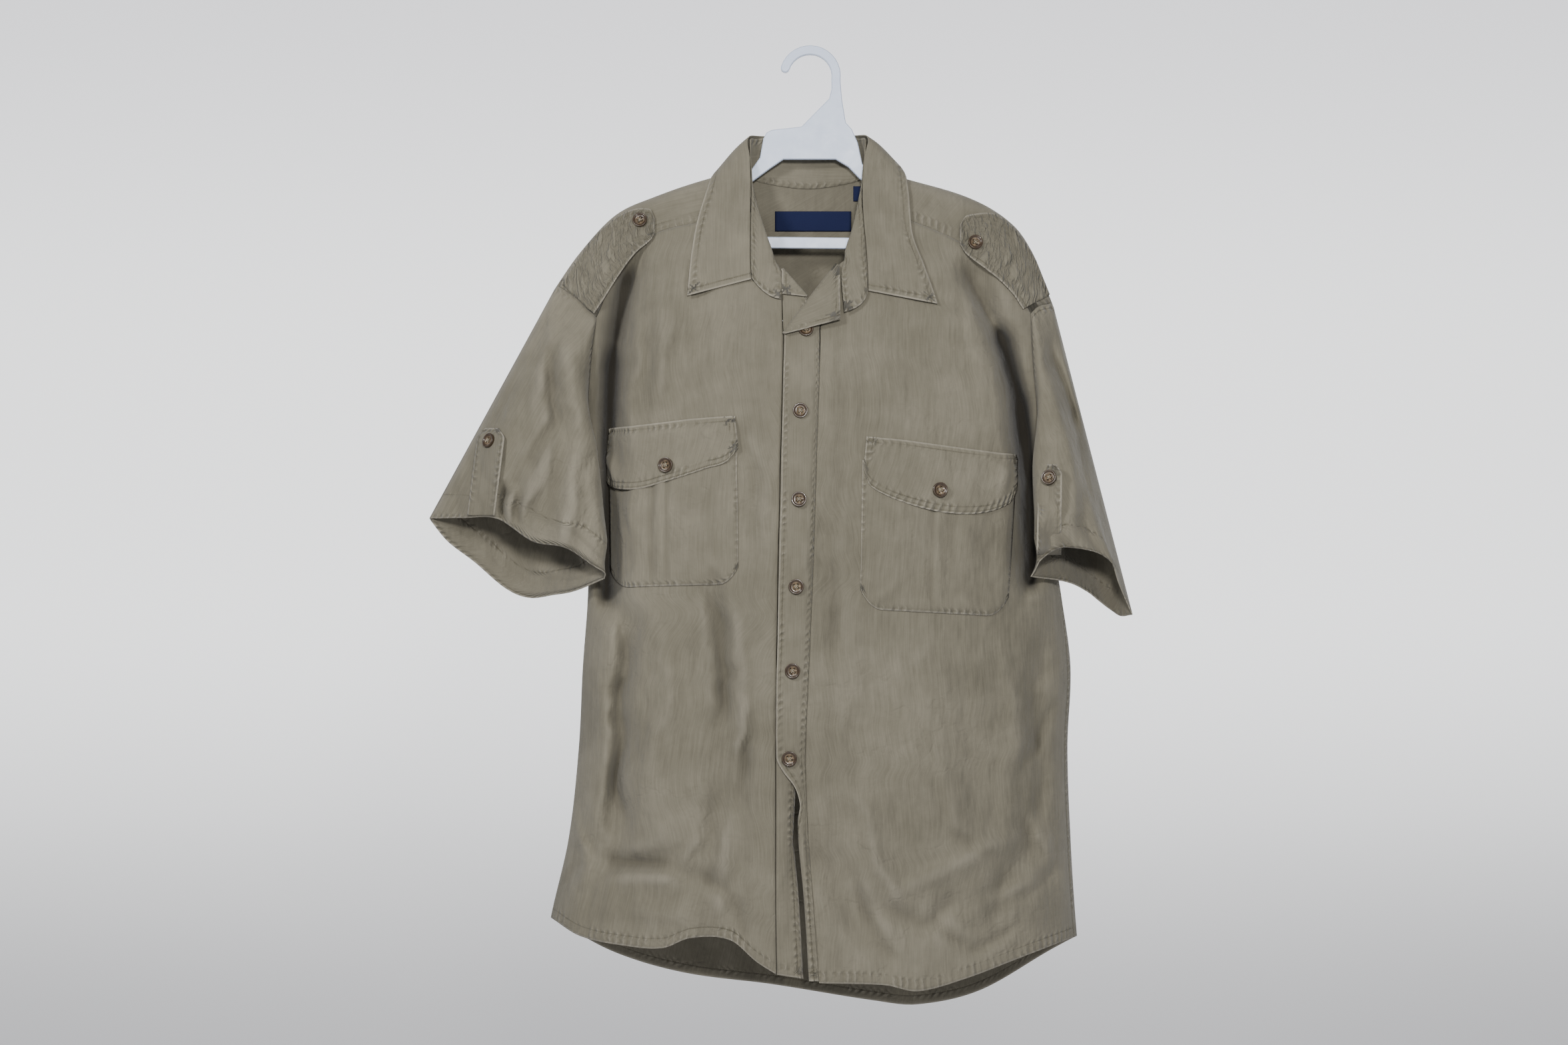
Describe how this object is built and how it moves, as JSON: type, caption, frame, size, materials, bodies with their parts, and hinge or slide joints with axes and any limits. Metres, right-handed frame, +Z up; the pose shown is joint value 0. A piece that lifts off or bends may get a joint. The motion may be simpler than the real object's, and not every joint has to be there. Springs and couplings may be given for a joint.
{
  "type": "military shirt on a plastic hanger",
  "caption": "Short-sleeved button-front military shirt with flapped chest pockets, epaulettes and sleeve tabs, hanging open-collared on a one-piece plastic hanger.",
  "frame": {"origin": "the point inside the crown of the hanger's hook that bears on the rail or wall hook", "axes": "+Z up, -Y out of the shirt's front, +X towards the left sleeve of the wearer"},
  "size_m": [0.7001, 0.1553, 0.9647],
  "materials": {
    "khaki_cloth": "washed cotton twill, matt, worn paler along the edges",
    "horn_button": "satin brown horn look",
    "navy_label": "blank woven navy label",
    "hanger_plastic": "pale blue-white moulded plastic, satin"
  },
  "bodies": {
    "root": {"back": "khaki_cloth", "yoke": "khaki_cloth", "front_right": "khaki_cloth", "front_left": "khaki_cloth", "button_stand": "khaki_cloth", "placket": "khaki_cloth", "collar_stand": "khaki_cloth", "collar": "khaki_cloth", "sleeve_right": "khaki_cloth", "sleeve_left": "khaki_cloth", "sleeve_tab_right": "khaki_cloth", "sleeve_tab_left": "khaki_cloth", "epaulette_right": "khaki_cloth", "epaulette_left": "khaki_cloth", "pocket_right": "khaki_cloth", "pocket_left": "khaki_cloth", "pocket_flap_right": "khaki_cloth", "pocket_flap_left": "khaki_cloth", "front_button_1": "horn_button", "front_button_2": "horn_button", "front_button_3": "horn_button", "front_button_4": "horn_button", "front_button_5": "horn_button", "front_button_6": "horn_button", "pocket_button_right": "horn_button", "pocket_button_left": "horn_button", "epaulette_button_right": "horn_button", "epaulette_button_left": "horn_button", "tab_button_right": "horn_button", "tab_button_left": "horn_button", "neck_label": "navy_label", "size_tab": "navy_label", "hanger": "hanger_plastic"}
  },
  "joints": []
}
